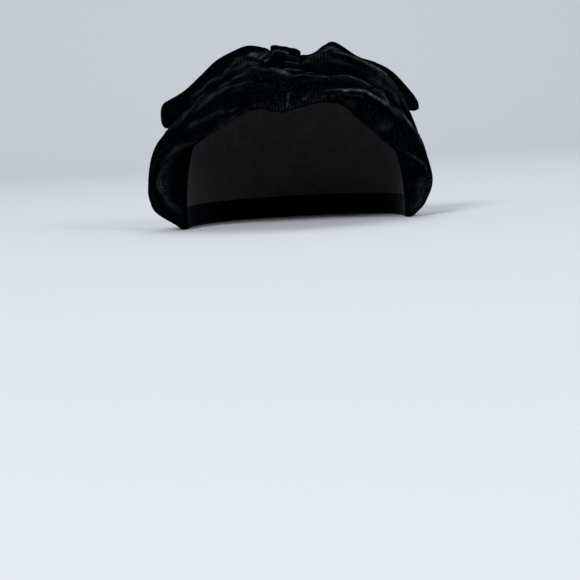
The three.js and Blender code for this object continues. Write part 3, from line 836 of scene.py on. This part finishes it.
# The knot: a band of velvet that arches over the gathered middle of the bow, with three soft ridges along it
# and a hollow between finer folds in front. Both its ends are sewn to the cap.
KNOT_X = -1 * MM
KNOT_WIDTH = 20.5 * MM
KNOT_MIDDLE = -16 * MM
KNOT_DEPTH = 43 * MM
KNOT_LENGTH = 65 * MM
KNOT_RISE = 14.8 * MM
KNOT_TILT = 0.24  # how much lower the band is to the right
KNOT_ARCH = 0.6  # the power of the arch's sine: below 1 it is fuller
KNOT_SEAM = 0.5 * MM
KNOT_FLOOR = 4 * MM  # how high over the cap the middle of its hollow lies
KNOT_CURL = 1.2 * MM  # how far its two sides are drawn in, and how suddenly
KNOT_CURL_POWER = 6
KNOT_RIDGES = 3
KNOT_RIDGE = 0.15 * MM
HOLLOW_LEFT = 0.28  # the hollow under the front of the band, from left to right and from front to back
HOLLOW_FRONT = 0.15
HOLLOW_WIDTH = 0.32
HOLLOW_HEIGHT = 0.08
HOLLOW_DEPTH = 5 * MM
# Folded lines of the knot, each with a highlight painted along it
KNOT_LIPS = [
    # height, sharp, soft, light, glow, then share of the width and across of the places that it passes
    (0.5, 0.8, 1.6, 0.26, 0.9, (0.02, 0.27), (0.06, 0.31), (0.16, 0.34), (0.3, 0.348), (0.46, 0.342),
     (0.56, 0.32), (0.62, 0.27)),  # over the hollow
    (0.4, 0.6, 1.2, 0.17, 0.7, (0.5, 0.292), (0.7, 0.285), (0.97, 0.275)),  # right of the hollow
    (0.4, 0.6, 1.2, 0.12, 0.6, (0.5, 0.24), (0.7, 0.232), (0.97, 0.225)),
    (0.4, 0.6, 1.2, 0.19, 0.7, (0.42, 0.192), (0.7, 0.188), (0.97, 0.18)),
]
KNOT_COLUMNS = 81
KNOT_OUTER = 100
KNOT_INNER = 40


def knot_face(share, across):
    """An arch from front to back over the cap, lower to the right, drawn in at the sides and ridged."""
    sideways = share[:, None] - 0.5
    x = KNOT_X + KNOT_WIDTH * sideways + 0 * across[None]
    level = KNOT_MIDDLE - KNOT_DEPTH / 2 * np.cos(np.pi * across[None]) + 0 * x
    aside = (share[:, None] - HOLLOW_LEFT) / HOLLOW_WIDTH
    above = (across[None] - HOLLOW_FRONT) / HOLLOW_HEIGHT
    y = level + HOLLOW_DEPTH * np.exp(-(aside**2) - above**2)
    ridges = KNOT_RIDGE * np.cos(2 * np.pi * KNOT_RIDGES * sideways)
    curl = KNOT_CURL * (2 * sideways) ** KNOT_CURL_POWER
    rise = KNOT_RISE - KNOT_TILT * KNOT_WIDTH * sideways - curl + ridges
    z = cap_top(x, level, KNOT_SEAM) + rise * np.maximum(0, np.sin(np.pi * across[None])) ** KNOT_ARCH
    return np.stack([x, y, z], axis=-1)


knot_share = np.linspace(0, 1, KNOT_COLUMNS)
knot_across = np.linspace(0, 1, KNOT_OUTER)
knot_outer = knot_face(knot_share, knot_across)
knot_inner = knot_face(knot_share, np.linspace(0, 1, KNOT_INNER))
knot_x = KNOT_X + KNOT_WIDTH * (knot_share - 0.5)
knot_y = np.full(KNOT_COLUMNS, KNOT_MIDDLE)
knot_hollow = np.stack([knot_x, knot_y, cap_top(knot_x, knot_y, 0) + KNOT_FLOOR], axis=-1)[:, None]
knot_lift, knot_light = lips(knot_share[:, None], knot_across, KNOT_LIPS, KNOT_WIDTH, KNOT_LENGTH)
knot_outer = pushed(knot_outer, knot_hollow, knot_lift)
knot = cloth_mesh(
    "bow_knot_velvet",
    walled(knot_outer, knot_inner, knot_hollow),
    False,
    **on_cloth(knot_share * KNOT_WIDTH, knot_across * KNOT_LENGTH, 0 * knot_light, knot_light, KNOT_INNER),
)
knot.data.materials.append(bow_velvet)
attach(knot, "root")
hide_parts("bow_knot")

# The studio: a pale sheet that runs from the table up into the backdrop in one sweep, and soft lamps.
FLOOR_WIDTH = 8.0
FLOOR_FRONT = -4.0
FLOOR_BACK = 1.6
SWEEP_RADIUS = 1.0
BACKDROP_TOP = 4.0
SWEEP_STEPS = 24
PAPER = (0.55, 0.57, 0.6, 1)
PAPER_ROUGHNESS = 0.9
SKY = (0.75, 0.8, 0.9, 1)
SKY_STRENGTH = 0.35


def floor_sweep():
    """A straight floor, a quarter circle and a straight backdrop, carried along X."""
    turn = np.linspace(0, math.pi / 2, SWEEP_STEPS)
    bend_y = FLOOR_BACK + SWEEP_RADIUS * np.sin(turn)
    curve_y = np.concatenate([[FLOOR_FRONT], bend_y, bend_y[-1:]])
    curve_z = np.concatenate([[0], SWEEP_RADIUS * (1 - np.cos(turn)), [BACKDROP_TOP]])
    across = np.array([-0.5, 0.5])[:, None] * FLOOR_WIDTH
    points = np.stack(np.broadcast_arrays(across, curve_y, curve_z), axis=-1)
    index = np.arange(points.shape[0] * points.shape[1]).reshape(points.shape[:2])
    quads = np.stack([index[0, :-1], index[1, :-1], index[1, 1:], index[0, 1:]], axis=-1)
    mesh = bpy.data.meshes.new("floor")
    mesh.from_pydata(points.reshape(-1, 3), [], quads)
    mesh.polygons.foreach_set("use_smooth", np.ones(len(quads), bool))
    floor = bpy.data.objects.new("floor", mesh)
    bpy.context.scene.collection.objects.link(floor)
    return floor


floor = floor_sweep()
paper = bpy.data.materials.new("pale_paper")
paper.use_nodes = True
paper.node_tree.nodes["Principled BSDF"].inputs["Base Color"].default_value = PAPER
paper.node_tree.nodes["Principled BSDF"].inputs["Roughness"].default_value = PAPER_ROUGHNESS
floor.data.materials.append(paper)

HAT_MIDDLE = Vector((0, 0, 0.07))
LAMPS = [
    # name, x, y, z, size, watts
    ("key_lamp", -1.4, -2.6, 2.4, 1.2, 90),
    ("fill_lamp", 2.0, -2.4, 1.6, 1.4, 40),
    ("back_lamp", 0.0, 0.9, 2.6, 2.0, 40),
]
for lamp_name, x, y, z, size, watts in LAMPS:
    lamp = bpy.data.objects.new(lamp_name, bpy.data.lights.new(lamp_name, "AREA"))
    lamp.data.size = size
    lamp.data.energy = watts
    lamp.location = (x, y, z)
    lamp.rotation_mode = "QUATERNION"
    lamp.rotation_quaternion = (HAT_MIDDLE - lamp.location).to_track_quat("-Z", "Y")
    bpy.context.scene.collection.objects.link(lamp)

world = bpy.data.worlds.new("studio")
world.use_nodes = True
world.node_tree.nodes["Background"].inputs["Color"].default_value = SKY
world.node_tree.nodes["Background"].inputs["Strength"].default_value = SKY_STRENGTH
bpy.context.scene.world = world

# The camera looks from far off, a little down and rolled by as much as the hat is tilted when it is worn.
CAMERA_PLACE = Vector((2.6, -1513.6, 80)) * MM
CAMERA_AIM = Vector((-5, -13.6, -46.6)) * MM
CAMERA_LENS = 134.1
CAMERA_ROLL = math.radians(-3.34)
camera = bpy.data.objects.new("camera", bpy.data.cameras.new("camera"))
camera.data.lens = CAMERA_LENS
camera.location = CAMERA_PLACE
camera.rotation_mode = "QUATERNION"
looking = (CAMERA_AIM - CAMERA_PLACE).to_track_quat("-Z", "Y")
camera.rotation_quaternion = looking @ Quaternion((0, 0, 1), CAMERA_ROLL)
bpy.context.scene.collection.objects.link(camera)
bpy.context.scene.camera = camera
bpy.context.scene.view_settings.view_transform = "Standard"
